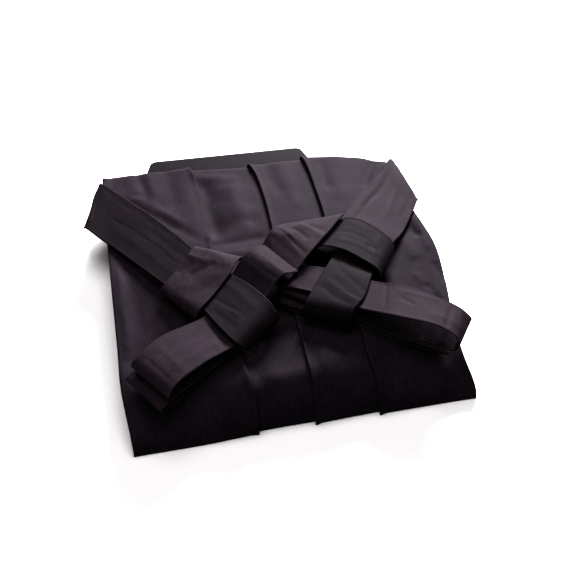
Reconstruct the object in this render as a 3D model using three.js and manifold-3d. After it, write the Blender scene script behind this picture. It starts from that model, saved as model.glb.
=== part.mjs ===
// Hakama trousers folded flat, with the waist ties folded and crossed over the front in the formal way.
// Millimetres, +Z up, the wearer's waist towards +Y. The bundle lies on its flat underside at z = 0. The
// front shows as four pleated panels that wrap the bundle from the waist fold to the front edge; every
// hidden layer of the legs and the back is one rounded solid with layered edges; the stiff back board peeks
// out behind the waist fold; each stretch of tie that shows is a wall of its own.
import * as THREE from 'three';
import { mergeVertices } from 'three/addons/utils/BufferGeometryUtils.js';
import Module from 'manifold-3d';

// ---- driving sizes, mm ----
const CORE_HEIGHT = 42;        // hidden layers, in the middle of the bundle
const CLOTH = 1.2;             // one layer of the front
const TIE = 2;                 // a tie: four layers of cloth sewn flat
const GAP = 0.3;               // between pieces that touch
const LAYERS = 5;              // folded layers that show round the edges
const LAYER_NOTCH = 2.4;       // how deep the groove between two of them is
const WAIST_RADIUS = 6;        // fold of the front over the waist
const WAIST_TURN_DOWN = 31.5;  // height where the front's turned-down waist ends, above the back board
const PLEAT_UNDERLAP = 14;     // cloth turned under at a pleat's folded edge
const HEM_INSET = 7;           // the hidden layers stop this far inside the front's side edges
const HEM_BACK = 3;            // and this far behind the front
const ROUNDING = 7;            // rounding of the layers' upper edge, mm
const ROUND_FROM = 0.84;       // share of the height where it begins
const CORNER_CUT = 0.03;       // cut of the layers' corners, as a share of their width
const CORNER_FROM = 0.38;      // distance from the middle where it begins, as the same share
const MEAN_WIDTH = 330;        // width of the whole bundle on average
const PLEAT_BEND = 0.9;        // half the height of a pleat's round fold
const SHOULDER_FULLNESS = 0.9; // below 1, the shoulder is fuller than a quarter ellipse

// The outline in plan, and how high the front lies along its side edges. A row for each section across the
// bundle.
const OUTLINE = [
  { y: -150, left: -169, right: 157, leftUp: 28, rightUp: 30 },
  { y: -100, left: -174, right: 146, leftUp: 30, rightUp: 31 },
  { y: -50, left: -174, right: 149, leftUp: 35, rightUp: 32 },
  { y: 0, left: -174, right: 155, leftUp: 39, rightUp: 34 },
  { y: 50, left: -174, right: 157, leftUp: 41, rightUp: 38 },
  { y: 100, left: -174, right: 149, leftUp: 41, rightUp: 40 },
  { y: 150, left: -173, right: 144.5, leftUp: 41, rightUp: 41 },
  { y: 220, left: -173, right: 135, leftUp: 41, rightUp: 41 },
];

// The waist fold and the front edge, by share of the width from left to right: where each lies, and how far
// back the rounded shoulder above the front edge reaches.
const ENDS = [
  { across: 0, waist: 217, front: -148, shoulder: 88 },
  { across: 0.2, waist: 217, front: -143, shoulder: 50 },
  { across: 0.36, waist: 214, front: -137, shoulder: 28 },
  { across: 0.52, waist: 210, front: -134, shoulder: 30 },
  { across: 0.72, waist: 214, front: -132, shoulder: 44 },
  { across: 0.9, waist: 208, front: -131, shoulder: 58 },
  { across: 1, waist: 196, front: -131, shoulder: 64 },
];

// Where the pleats' folded edges lie, in plan. `over` says which side of a pleat lies on top.
const PLEAT_LINES = [
  { y: -135, first: -56, second: -2.5, third: 58.5 },
  { y: -100, first: -60.5, second: -3, third: 53.6 },
  { y: -50, first: -64.5, second: -3.7, third: 53 },
  { y: 60, first: -69, second: -5, third: 53 },
  { y: 130, first: -70, second: -4.4, third: 52.6 },
  { y: 180, first: -72.2, second: -6.7, third: 51.3 },
  { y: 200, first: -75, second: -10.1, third: 49.3 },
  { y: 215, first: -79, second: -14.8, third: 46.6 },
];
const PLEATS = [
  { line: 'first', over: 'left' },
  { line: 'second', over: 'right' },
  { line: 'third', over: 'right' },
];

// The stiff back board of the waist: a trapezium, its narrow top edge out behind the waist fold.
const BOARD = {
  top: 170, base: 208, height: 60, thick: 5, x: -32.5, edgeY: 254.5, up: 30, corner: 6, pocket: 0.5,
};

// The ties, stretch by stretch. A row for each section or fold: the two edges of the tie's outer face, as
// [x, y, height], `far` on the waist's or the upper left side and `near` on the other.
const STRETCHES = {
  left_tie_from_waist: [
    { far: [-177, 192, 42], near: [-179, 142, 39] },       // tucked in under the front's side edge
    { far: [-177.5, 196, 45], near: [-197, 132, 41] },
    { far: [-176, 198, 48.6], near: [-196, 130, 44.2] },     // folded round the side
    { far: [-151, 164, 52], near: [-176, 101, 45.6] },
    { far: [-118, 113, 56], near: [-151, 62, 49.3] },
    { far: [-90, 59, 61.4], near: [-124, 17, 54.4] },
    { far: [-80, 42, 62.2], near: [-114, 0, 56.6] },
  ],
  right_tie_over_left: [
    { far: [-84, 59, 57], near: [-42, 30, 62] },           // comes up behind the left tie
    { far: [-87, 58, 63], near: [-44.5, 26, 70] },
    { far: [-90, 54, 66], near: [-48, 21, 72.6] },
    { far: [-96, 44, 66], near: [-58, 5, 72.4] },
    { far: [-107, 32, 61.4], near: [-76, -18, 68.2] },
    { far: [-123, 13, 58], near: [-94, -38, 65.6] },
    { far: [-127.5, 10, 54.4], near: [-98, -41, 60] },
    { far: [-127, 9, 50.4], near: [-98, -42, 55.2] },        // turns under the left tie's edge
  ],
  left_tie_over_long_tie: [
    { far: [-66, 25, 66.5], near: [-98, -17, 60.6] },
    { far: [-58, 5, 68.4], near: [-90.5, -35.5, 63] },
    { far: [-43, -16, 70.8], near: [-80, -62, 64.8] },
    { far: [-30, -38, 70.8], near: [-67.5, -85, 64.2] },
    { far: [-24, -48, 66.5], near: [-61, -88, 59] },
    { far: [-21, -54, 59.5], near: [-57, -88, 53.5] },
    { far: [-24, -54, 52], near: [-59, -84, 50] },         // rolls under the long tie
  ],
  right_tie_end: [
    { far: [-62, 2, 64], near: [-35, -38, 64.6] },
    { far: [-56, 9, 66.9], near: [-29, -33, 68] },
    { far: [-49, 13.5, 76], near: [-17.5, -22, 77] },
    { far: [-41, 20, 80], near: [-11, -19, 80.4] },
    { far: [-31, 27, 79.4], near: [-3.5, -17, 80] },
    { far: [-23, 33, 76.2], near: [4, -13, 77.4] },        // over the crest and down behind
    { far: [-20, 36, 72.2], near: [6, -11, 73.2] },
  ],
  left_tie_up_to_loop: [
    { far: [-30, 33, 67], near: [-9, -17, 67.4] },
    { far: [-22.5, 43, 68.8], near: [-1, -9, 68.2] },
    { far: [-13, 54, 75.6], near: [17, 10, 75.6] },
    { far: [-5, 62, 74.6], near: [46, 45, 75.6] },
    { far: [-2, 66, 71.8], near: [64, 69, 74.2] },
    { far: [-1, 69, 69.8], near: [66, 72.5, 72.4] },
    { far: [-2, 68, 67.8], near: [64, 70.5, 70.2] },         // folded back under itself
  ],
  left_tie_loop: [
    { far: [52, 62, 68.4], near: [24, 27, 68.6] },
    { far: [67, 71, 69.2], near: [35, 27, 71.6] },
    { far: [81, 64, 70.6], near: [52, 16, 74] },
    { far: [97, 46, 69], near: [69, -1, 73.2] },
    { far: [107, 31, 64.5], near: [81, -15, 70.5] },
    { far: [109.5, 27, 58.5], near: [83.5, -19, 62] },
    { far: [106, 27, 53], near: [80, -19, 56] },           // round the right tie's edge
    { far: [98, 32, 51], near: [74, -12, 52.6] },
  ],
  right_tie_from_waist: [
    { far: [147, 183, 41], near: [152, 121, 41] },         // tucked in under the front's side edge
    { far: [147.5, 188, 44], near: [157, 117, 43.5] },
    { far: [144, 191, 47.6], near: [156, 116, 45.4] },       // folded round the side
    { far: [126, 166, 49], near: [145, 96, 44.8] },
    { far: [98, 130, 53], near: [127, 64, 46.8] },
    { far: [71, 89, 60], near: [106, 35, 55.6] },
    { far: [60, 72, 62], near: [95, 20, 62.5] },
  ],
  right_tie_over_long_tie: [
    { far: [54, 32, 59.6], near: [81, -6, 59.6] },
    { far: [41, 12, 68], near: [74.5, -20.5, 68.4] },
    { far: [19, -23, 69.2], near: [60.5, -50, 69.6] },
    { far: [6, -44, 68.4], near: [49, -64, 68.6] },
    { far: [1, -50, 63.5], near: [44, -71, 63.5] },
    { far: [0, -51, 56.5], near: [41.5, -72, 56.5] },
    { far: [3, -48, 51], near: [44, -69, 51] },            // rolls under the long tie
  ],
  left_long_tie_upper_loop: [
    { far: [-76, -24, 60], near: [-51, -68, 60] },
    { far: [-92, -42, 60.5], near: [-66, -84, 60.5] },
    { far: [-133, -66, 65], near: [-98, -107, 65] },
    { far: [-154, -86, 65], near: [-123, -127, 65] },
    { far: [-161, -91, 62], near: [-130, -134, 61.5] },
    { far: [-163, -93, 58], near: [-133, -138, 57.5] },    // the open end of the loop
    { far: [-160, -91, 54.5], near: [-131, -134, 54] },
    { far: [-140, -74, 54.8], near: [-109, -115, 54.6] },
    { far: [-92, -42, 55.5], near: [-66, -84, 55.5] },
    { far: [-76, -24, 56], near: [-51, -68, 56] },
  ],
  left_long_tie_lower_loop: [
    { far: [-78, -28, 53.8], near: [-53, -70, 53.8] },
    { far: [-95, -45, 53.5], near: [-69, -86, 53.5] },
    { far: [-142, -76, 51.6], near: [-111, -118, 51.4] },
    { far: [-162, -91, 50.5], near: [-132, -135, 50] },
    { far: [-169, -97, 46.5], near: [-141, -141, 46] },    // the open end of the loop
    { far: [-167, -95, 42.5], near: [-139, -139, 42] },
    { far: [-146, -78, 43.6], near: [-115, -120, 43] },
    { far: [-120, -58, 46.8], near: [-92, -101, 46.4] },
    { far: [-95, -45, 48.2], near: [-69, -86, 48] },
    { far: [-78, -28, 48.6], near: [-53, -70, 48.4] },
  ],
  right_long_tie_upper_loop: [
    { far: [-13, 17, 64], near: [-19, -14, 64] },
    { far: [18, 7, 66], near: [6, -27, 66] },
    { far: [46, -6, 66.4], near: [28, -43, 66.4] },
    { far: [75, -26, 66.4], near: [52, -61, 66.2] },
    { far: [98, -40, 69.5], near: [83, -86, 74] },
    { far: [129, -65, 71.5], near: [117, -108, 76] },
    { far: [147, -82, 69], near: [129, -119, 72.5] },
    { far: [154.5, -89, 62], near: [133.5, -122, 62] },    // the wide open end of the loop
    { far: [149, -84, 57.5], near: [131, -118, 51.5] },
    { far: [136, -68, 60], near: [119, -106, 48] },
    { far: [101, -42, 62], near: [86, -84, 49.6] },
    { far: [66, -20, 58], near: [49, -58, 54] },
    { far: [24, 6, 58.6], near: [4, -34, 58.6] },
    { far: [-10, 17, 59.5], near: [-17, -18, 59.5] },
  ],
  right_long_tie_lower_loop: [
    { far: [-8, 12, 55], near: [-17, -28, 55] },
    { far: [24, 4, 54.6], near: [1, -41, 54.6] },
    { far: [64, -24, 52.4], near: [47, -60, 52] },
    { far: [98, -46, 48.6], near: [84, -86, 47.2] },
    { far: [128, -74, 46.4], near: [121, -109, 44.6] },
    { far: [133, -82, 43.4], near: [128, -113, 42] },      // the end of the loop
    { far: [127, -74, 40.8], near: [121, -108, 39.4] },
    { far: [98, -46, 43.8], near: [86, -88, 42.8] },
    { far: [66, -24, 47.9], near: [50, -64, 47.9] },
    { far: [24, 4, 49.2], near: [3, -43, 49] },
    { far: [-8, 12, 49.4], near: [-15, -30, 49.2] },
  ],
  left_long_tie_far_end: [
    { far: [17, 62, 56.4], near: [46, 24, 56.4] },
    { far: [36, 77, 56.4], near: [65, 39, 56.4] },
    { far: [54, 91, 55.6], near: [83, 53, 55.6] },
    { far: [57.5, 94, 52], near: [86.5, 56, 52] },         // the folded end, under the right tie
    { far: [54, 91, 48.3], near: [83, 53, 48.3] },
    { far: [36, 77, 48], near: [65, 39, 48] },
    { far: [17, 62, 48], near: [46, 24, 48] },
  ],
  right_long_tie_far_end: [
    { far: [-112, 80, 47.8], near: [-147, 53, 46.6] },
    { far: [-100, 62, 48.6], near: [-136, 37, 47.2] },
    { far: [-88, 45, 49.8], near: [-124, 19, 48] },
  ],
};

// ---- finish ----
const COLOUR = { front: 0x2a2329, hidden: 0x231d23, tie: 0x2c252b, board: 0x272027 };
const finish = (colour) => new THREE.MeshStandardMaterial({ color: colour, roughness: 0.85, metalness: 0 });

// ---- helpers ----
const clamp01 = (t) => Math.min(1, Math.max(0, t));
const smooth = (t) => clamp01(t) ** 2 * (3 - 2 * clamp01(t));
const mix = (a, b, t) => a + (b - a) * t;

// Catmull-Rom value through the rows of a table, by one of its columns.
function column(rows, key, by, at) {
  let i = 0;
  while (i < rows.length - 2 && at > rows[i + 1][by]) i += 1;
  const [a, b] = [rows[i], rows[i + 1]];
  const before = rows[Math.max(i - 1, 0)];
  const after = rows[Math.min(i + 2, rows.length - 1)];
  const span = b[by] - a[by];
  const t = clamp01((at - a[by]) / span);
  const slopeA = (b[key] - before[key]) / (b[by] - before[by]);
  const slopeB = (after[key] - a[key]) / (after[by] - a[by]);
  const [t2, t3] = [t * t, t * t * t];
  return (2 * t3 - 3 * t2 + 1) * a[key] + (t3 - 2 * t2 + t) * span * slopeA
    + (3 * t2 - 2 * t3) * b[key] + (t3 - t2) * span * slopeB;
}

function solidMesh(name, triangles, colour) {
  const positions = new Float32Array(triangles.length * 9);
  triangles.forEach((tri, k) => tri.forEach((p, c) => positions.set([p.x, p.y, p.z], k * 9 + c * 3)));
  const geometry = new THREE.BufferGeometry();
  geometry.setAttribute('position', new THREE.BufferAttribute(positions, 3));
  const mesh = new THREE.Mesh(mergeVertices(geometry, 1e-4), finish(colour));
  mesh.name = name;
  return mesh;
}

// Signed volume of a closed list of triangles: negative when they face inwards.
function volume(triangles) {
  return triangles.reduce((sum, [a, b, c]) => sum + a.dot(new THREE.Vector3().crossVectors(b, c)) / 6, 0);
}

function facingOut(triangles) {
  return volume(triangles) < 0 ? triangles.map(([a, b, c]) => [a, c, b]) : triangles;
}

function addQuad(out, a, b, c, d) {
  for (const tri of [[a, b, c], [a, c, d]]) {
    const [one, two] = [1, 2].map((k) => new THREE.Vector3().subVectors(tri[k], tri[0]));
    const area = one.cross(two);
    if (area.length() > 1e-6) out.push(tri);
  }
}

// A closed wall between two grids of points with the same rows and columns.
function wallTriangles(outer, inner) {
  const [rows, cols] = [outer.length, outer[0].length];
  const out = [];
  for (let i = 0; i < rows - 1; i += 1) {
    for (let j = 0; j < cols - 1; j += 1) {
      addQuad(out, outer[i][j], outer[i + 1][j], outer[i + 1][j + 1], outer[i][j + 1]);
      addQuad(out, inner[i][j], inner[i][j + 1], inner[i + 1][j + 1], inner[i + 1][j]);
    }
    addQuad(out, outer[i][0], inner[i][0], inner[i + 1][0], outer[i + 1][0]);
    addQuad(out, outer[i][cols - 1], outer[i + 1][cols - 1], inner[i + 1][cols - 1], inner[i][cols - 1]);
  }
  for (let j = 0; j < cols - 1; j += 1) {
    addQuad(out, outer[0][j], outer[0][j + 1], inner[0][j + 1], inner[0][j]);
    addQuad(out, outer[rows - 1][j], inner[rows - 1][j], inner[rows - 1][j + 1], outer[rows - 1][j + 1]);
  }
  return facingOut(out);
}

// ---- the bundle's form ----
// `across` runs 0 to 1 from the left side edge to the right.
function planPoint(across, y) {
  return mix(column(OUTLINE, 'left', 'y', y), column(OUTLINE, 'right', 'y', y), across);
}

// Height of the hidden layers' top: full in the middle, lower towards the side edges.
function topHeight(across, y) {
  const side = across < 0.5 ? 'leftUp' : 'rightUp';
  const edge = column(OUTLINE, side, 'y', y);
  const drop = smooth((Math.abs(across - 0.5) * 2 - 0.35) / 0.65);
  return mix(CORE_HEIGHT, edge, drop);
}

// A point of the front's path at `across`: along the turned-down waist, over the waist fold, along the top
// and down the rounded shoulder to the ground. `lift` is its distance outside the hidden layers.
function pathPoint(across, stage, t, lift) {
  const waist = column(ENDS, 'waist', 'across', across);
  const front = column(ENDS, 'front', 'across', across);
  const shoulder = column(ENDS, 'shoulder', 'across', across);
  let y;
  let z;
  if (stage === 'down') {
    y = waist + lift;
    z = mix(WAIST_TURN_DOWN, topHeight(across, waist) - WAIST_RADIUS, t);
  } else if (stage === 'fold') {
    const turn = t * Math.PI / 2;
    y = waist - WAIST_RADIUS + (WAIST_RADIUS + lift) * Math.cos(turn);
    z = topHeight(across, waist) - WAIST_RADIUS + (WAIST_RADIUS + lift) * Math.sin(turn);
  } else if (stage === 'top') {
    y = mix(waist - WAIST_RADIUS, front + shoulder, t);
    z = topHeight(across, y) + lift;
  } else {
    const turn = (1 - t) * Math.PI / 2;
    const inner = front + shoulder;
    y = inner - (shoulder + lift) * Math.cos(turn);
    z = (topHeight(across, inner) + lift) * Math.sin(turn) ** SHOULDER_FULLNESS;
  }
  return new THREE.Vector3(planPoint(across, y), y, Math.max(z, 0));
}

// The steps of that path, from behind the waist to the ground at the front edge.
const PATH = [
  { stage: 'down', t: 0 },
  ...[0, 0.35, 0.7, 1].map((t) => ({ stage: 'fold', t })),
  ...[0.05, 0.1, 0.17, 0.26, 0.38, 0.52, 0.66, 0.8, 0.9].map((t) => ({ stage: 'top', t })),
  ...[0, 0.14, 0.28, 0.42, 0.56, 0.7, 0.85, 1].map((t) => ({ stage: 'shoulder', t })),
];

// Where a pleat's edge lies, as a share of the width, at a step of the path.
function pleatAcross(pleat, { stage, t }) {
  const y = pathPoint(0.5, stage, t, 0).y;
  const x = column(PLEAT_LINES, pleat.line, 'y', y);
  const left = column(OUTLINE, 'left', 'y', y);
  return (x - left) / (column(OUTLINE, 'right', 'y', y) - left);
}

// A panel's section across: rows of {across, lift}, from its left end to its right end. An edge that lies
// over its neighbour turns under at the pleat; the other kind runs on flat beneath the pleat.
function panelSection(step, leftPleat, rightPleat) {
  const width = planPoint(1, 0) - planPoint(0, 0);
  const under = PLEAT_UNDERLAP / width;
  const low = GAP + CLOTH;
  const turned = low + GAP + CLOTH;
  const high = turned + GAP + CLOTH;
  const bend = PLEAT_BEND / width;
  const from = leftPleat ? pleatAcross(leftPleat, step) : 0;
  const to = rightPleat ? pleatAcross(rightPleat, step) : 1;
  const overLeft = leftPleat && leftPleat.over === 'right';
  const overRight = rightPleat && rightPleat.over === 'left';
  const section = [];
  if (overLeft) {
    section.push({ across: from + under, lift: turned }, { across: from + bend, lift: turned });
    section.push({ across: from, lift: (turned + high) / 2 }, { across: from + bend, lift: high });
  } else if (leftPleat) {
    section.push({ across: from - under, lift: low });
  }
  const first = overLeft ? from + 4 * bend : from;
  const last = overRight ? to - 4 * bend : to;
  for (const t of [0, 0.25, 0.5, 0.75, 1]) {
    const height = mix(overLeft ? high : low, overRight ? high : low, t);
    section.push({ across: mix(first, last, t), lift: height });
  }
  if (overRight) {
    section.push({ across: to - bend, lift: high }, { across: to, lift: (turned + high) / 2 });
    section.push({ across: to - bend, lift: turned }, { across: to - under, lift: turned });
  } else if (rightPleat) {
    section.push({ across: to + under, lift: low });
  }
  return section;
}

// The wall on a section: each point moved half a layer to both sides of its line, square to the line.
function offsetSection(section, width, side) {
  return section.map((point, k) => {
    const a = section[Math.max(k - 1, 0)];
    const b = section[Math.min(k + 1, section.length - 1)];
    const run = new THREE.Vector2((b.across - a.across) * width, b.lift - a.lift).normalize();
    const shift = side * CLOTH / 2;
    return { across: point.across - (run.y * shift) / width, lift: point.lift - CLOTH / 2 + run.x * shift };
  });
}

function frontPanel(name, leftPleat, rightPleat) {
  const width = planPoint(1, 0) - planPoint(0, 0);
  const grid = (side) => PATH.map((step) => {
    const section = offsetSection(panelSection(step, leftPleat, rightPleat), width, side);
    return section.map(({ across, lift }) => pathPoint(across, step.stage, step.t, lift));
  });
  return solidMesh(name, wallTriangles(grid(1), grid(-1)), COLOUR.front);
}

// ---- hidden layers ----
// One rounded solid: rings round the bundle from its flat underside up the layered sides and in over the
// top.
function hiddenLayers(name) {
  const around = 56;
  const levels = 20;
  const rings = [];
  // A point on the rounded square that stands for the outline, with how far it faces the front.
  const edge = Array.from({ length: around }, (_, k) => {
    const turn = (k / around) * Math.PI * 2;
    const [c, s] = [Math.cos(turn), Math.sin(turn)];
    const reach = 0.5 / Math.max(Math.abs(c), Math.abs(s));
    const [u, v] = [c * reach, s * reach];
    const near = (b) => smooth((Math.abs(b) - CORNER_FROM) / (0.5 - CORNER_FROM));
    const cut = (a, b) => (Math.abs(a) > 0.3 ? a - Math.sign(a) * CORNER_CUT * near(b) : a);
    const front = smooth((-v - 0.3) / 0.2) * smooth((0.52 - Math.abs(u)) / 0.1);
    return { u: cut(u, v), v: cut(v, u), front };
  });
  const place = (point, inset, height, isTop) => {
    const across = 0.5 + point.u * (1 - (2 * (inset + HEM_INSET)) / MEAN_WIDTH);
    const waist = column(ENDS, 'waist', 'across', across);
    const front = column(ENDS, 'front', 'across', across);
    const shoulder = column(ENDS, 'shoulder', 'across', across);
    const rise = Math.sqrt(Math.max(0, 1 - height ** 2));
    const frontY = front + shoulder * (1 - rise) + HEM_BACK;
    const backY = waist - inset * 0.8 - 0.5;
    const y = mix(frontY, backY, point.v + 0.5);
    const top = topHeight(across, y);
    return new THREE.Vector3(planPoint(across, y), y, isTop ? top : top * height);
  };
  const layered = (height) => LAYER_NOTCH * (1 - Math.sqrt(Math.abs(Math.sin(Math.PI * LAYERS * height))));
  for (let m = 0; m <= levels; m += 1) {
    const height = m / levels;
    const rounded = ROUNDING * (1 - Math.sqrt(1 - clamp01((height - ROUND_FROM) / (1 - ROUND_FROM)) ** 2));
    const notch = m === 0 || m === levels ? 1 : layered(height);
    const isTop = m === levels;
    rings.push(edge.map((point) => place(point, mix(notch, 0, point.front) + rounded, height, isTop)));
  }
  for (const share of [0.86, 0.66, 0.44, 0.22]) {
    const inwards = edge.map((point) => ({ u: point.u * share, v: point.v * share }));
    rings.push(inwards.map((point) => place(point, ROUNDING, 1, true)));
  }
  const out = [];
  for (let m = 0; m < rings.length - 1; m += 1) {
    for (let k = 0; k < around; k += 1) {
      const next = (k + 1) % around;
      addQuad(out, rings[m][k], rings[m][next], rings[m + 1][next], rings[m + 1][k]);
    }
  }
  const caps = [
    { ring: rings[0], centre: new THREE.Vector3(-15, 30, 0), turn: -1 },
    { ring: rings[rings.length - 1], centre: place({ u: 0, v: 0 }, ROUNDING, 1, true), turn: 1 },
  ];
  for (const { ring, centre, turn } of caps) {
    for (let k = 0; k < around; k += 1) {
      const pair = [ring[k], ring[(k + 1) % around]];
      out.push(turn > 0 ? [pair[0], pair[1], centre] : [pair[1], pair[0], centre]);
    }
  }
  return solidMesh(name, facingOut(out), COLOUR.hidden);
}

// ---- back board ----
function boardShape(grow) {
  const { top, base, height, corner } = BOARD;
  const shape = new THREE.Shape();
  const slope = (base - top) / 2 / height;
  shape.moveTo(-base / 2 - grow, -height - grow);
  shape.lineTo(base / 2 + grow, -height - grow);
  shape.lineTo(top / 2 + slope * corner + grow, -corner);
  shape.quadraticCurveTo(top / 2 + grow, grow, top / 2 - corner, grow);
  shape.lineTo(-top / 2 + corner, grow);
  shape.quadraticCurveTo(-top / 2 - grow, grow, -top / 2 - slope * corner - grow, -corner);
  shape.closePath();
  return shape;
}

function boardMesh(name, grow) {
  const options = { depth: BOARD.thick + 2 * grow, bevelEnabled: false, curveSegments: 5 };
  const geometry = new THREE.ExtrudeGeometry(boardShape(grow), options);
  geometry.translate(BOARD.x, BOARD.edgeY, BOARD.up - BOARD.thick - grow);
  geometry.deleteAttribute('normal');
  geometry.deleteAttribute('uv');
  const mesh = new THREE.Mesh(mergeVertices(geometry, 1e-4), finish(COLOUR.board));
  mesh.name = name;
  return mesh;
}

// ---- ties ----
// A stretch of tie: a wall whose outer face runs smoothly through the rows' edges.
function tieStretch(name, rows) {
  const points = (key) => rows.map((row) => new THREE.Vector3(...row[key]));
  const smoothLine = (key) => new THREE.CatmullRomCurve3(points(key), false, 'centripetal');
  const curves = [smoothLine('far'), smoothLine('near')];
  const steps = (rows.length - 1) * 3;
  const columns = 2;
  const outer = [];
  for (let i = 0; i <= steps; i += 1) {
    const [far, near] = curves.map((curve) => curve.getPoint(i / steps));
    outer.push(Array.from({ length: columns + 1 }, (_, j) => far.clone().lerp(near, j / columns)));
  }
  const inner = outer.map((row, i) => row.map((point, j) => {
    const [before, after] = [outer[Math.max(i - 1, 0)][j], outer[Math.min(i + 1, steps)][j]];
    const along = new THREE.Vector3().subVectors(after, before);
    const over = new THREE.Vector3().subVectors(row[Math.min(j + 1, columns)], row[Math.max(j - 1, 0)]);
    return point.clone().addScaledVector(over.cross(along).normalize(), -TIE * outwards(rows));
  }));
  return solidMesh(name, wallTriangles(outer, inner), COLOUR.tie);
}

// +1 when across-then-along turns the outer face upwards on the stretch's widest part, else -1.
function outwards(rows) {
  const high = rows.reduce((best, row, k) => (row.far[2] > rows[best].far[2] ? k : best), 0);
  const at = Math.min(Math.max(high, 1), rows.length - 2);
  const along = new THREE.Vector3(...rows[at + 1].far).sub(new THREE.Vector3(...rows[at - 1].far));
  const over = new THREE.Vector3(...rows[at].near).sub(new THREE.Vector3(...rows[at].far));
  return Math.sign(over.cross(along).z);
}

// ---- the pocket that holds the board ----
const wasm = await Module();
wasm.setup();

function toManifold(mesh) {
  const { position } = mesh.geometry.attributes;
  const vertProperties = new Float32Array(position.array);
  const triVerts = new Uint32Array(mesh.geometry.index.array);
  return new wasm.Manifold(new wasm.Mesh({ numProp: 3, vertProperties, triVerts }));
}

function cutPocket(mesh, tool) {
  const cut = toManifold(mesh).subtract(toManifold(tool)).getMesh();
  const geometry = new THREE.BufferGeometry();
  geometry.setAttribute('position', new THREE.BufferAttribute(new Float32Array(cut.vertProperties), 3));
  geometry.setIndex(new THREE.BufferAttribute(new Uint32Array(cut.triVerts), 1));
  const result = new THREE.Mesh(geometry, mesh.material);
  result.name = mesh.name;
  return result;
}

// ---- the hakama ----
const hakama = new THREE.Group();
hakama.add(cutPocket(hiddenLayers('folded_layers'), boardMesh('pocket', BOARD.pocket)));
hakama.add(boardMesh('back_board', 0));
[null, ...PLEATS].forEach((leftPleat, k) => {
  hakama.add(frontPanel(`front_panel_${k + 1}`, leftPleat, PLEATS[k] ?? null));
});
for (const [name, rows] of Object.entries(STRETCHES)) hakama.add(tieStretch(name, rows));

// The origin is the middle of the underside of the whole.
const bounds = new THREE.Box3().setFromObject(hakama);
hakama.position.set(-(bounds.min.x + bounds.max.x) / 2, -(bounds.min.y + bounds.max.y) / 2, -bounds.min.z);

export default hakama;
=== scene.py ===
# %% [markdown]
# # Hakama trousers, folded flat and tied
#
# Hakama are wide pleated trousers. To put them away they are folded flat, the long ties are folded into
# hanks, and the short ties are crossed over the hanks and wrapped. The frame gives the folded bundle's
# pieces at their real size. This script makes the cloth that shows: four pleated front panels, the folded
# layers under them, the stiff back board, and each stretch of the ties. Every piece lies where its solid in
# the frame lies.

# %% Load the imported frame
import math

import bmesh
import bpy
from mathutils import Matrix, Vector, noise


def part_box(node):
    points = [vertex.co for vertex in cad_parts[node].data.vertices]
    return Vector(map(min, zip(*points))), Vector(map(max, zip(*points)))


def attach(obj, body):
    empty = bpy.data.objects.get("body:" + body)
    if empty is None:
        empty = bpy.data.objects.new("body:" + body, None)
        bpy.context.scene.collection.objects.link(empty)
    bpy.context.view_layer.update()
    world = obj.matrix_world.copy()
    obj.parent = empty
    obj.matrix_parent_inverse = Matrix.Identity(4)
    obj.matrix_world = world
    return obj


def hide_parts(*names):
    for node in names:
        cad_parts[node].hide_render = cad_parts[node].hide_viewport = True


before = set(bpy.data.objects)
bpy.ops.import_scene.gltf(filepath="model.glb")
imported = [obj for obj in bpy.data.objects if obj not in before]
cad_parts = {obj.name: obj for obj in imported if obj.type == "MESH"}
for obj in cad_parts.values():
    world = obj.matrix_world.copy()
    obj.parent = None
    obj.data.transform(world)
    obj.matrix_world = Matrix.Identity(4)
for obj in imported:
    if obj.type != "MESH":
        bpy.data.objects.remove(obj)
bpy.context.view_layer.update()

MM = 0.001

# %% [markdown]
# The tables below are in millimetres in the cutter's frame, where the back board's middle line and free
# edge are known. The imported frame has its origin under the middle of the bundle, so the board's own box
# says how far apart the two frames are. Three small helpers do the sums that come back everywhere: a mix of
# two values, a soft step from 0 to 1, and the smooth curve that leaves one value and meets the next with
# given slopes.

# %% From the cutter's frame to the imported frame
BOARD = dict(top=170, base=208, height=60, thick=5, middle=-32.5, edge=254.5, up=30, corner=6)
board_low, board_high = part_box("back_board")
SHIFT = Vector((
    board_low.x / MM - (BOARD["middle"] - BOARD["base"] / 2),
    board_high.y / MM - BOARD["edge"],
    board_high.z / MM - BOARD["up"],
))
print("shift between the frames, mm:", [round(value, 2) for value in SHIFT])


def packed(point):
    """A point of the cutter's frame, in mm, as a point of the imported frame, in metres."""
    return (point + SHIFT) * MM


def mix(a, b, t):
    return a + (b - a) * t


def smooth(t):
    t = min(1, max(0, t))
    return t * t * (3 - 2 * t)


def bend(a, slope_a, b, slope_b, t):
    """The curve from `a` to `b` with these slopes at its ends."""
    return (
        (2 * t ** 3 - 3 * t ** 2 + 1) * a + (t ** 3 - 2 * t ** 2 + t) * slope_a
        + (3 * t ** 2 - 2 * t ** 3) * b + (t ** 3 - t ** 2) * slope_b
    )


# %% [markdown]
# The camera stands in front of the bundle, a little to the left of its middle, and looks down on it at 42
# degrees. A long lens keeps the sides nearly parallel.

# %% Camera
AZIMUTH, ELEVATION = math.radians(-9.825), math.radians(42)
DISTANCE, LENS, SENSOR = 1.1758, 73.97, 36
aim = packed(Vector((0, 0, 40)))
back = Vector((
    math.sin(AZIMUTH) * math.cos(ELEVATION),
    -math.cos(AZIMUTH) * math.cos(ELEVATION),
    math.sin(ELEVATION),
))
camera = bpy.data.objects.new("camera", bpy.data.cameras.new("camera"))
camera.data.lens, camera.data.sensor_width = LENS, SENSOR
camera.location = aim + back * DISTANCE
camera.rotation_euler = back.to_track_quat("Z", "Y").to_euler()
bpy.context.scene.collection.objects.link(camera)
bpy.context.scene.camera = camera
print("camera at", [round(value, 3) for value in camera.location])

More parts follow.
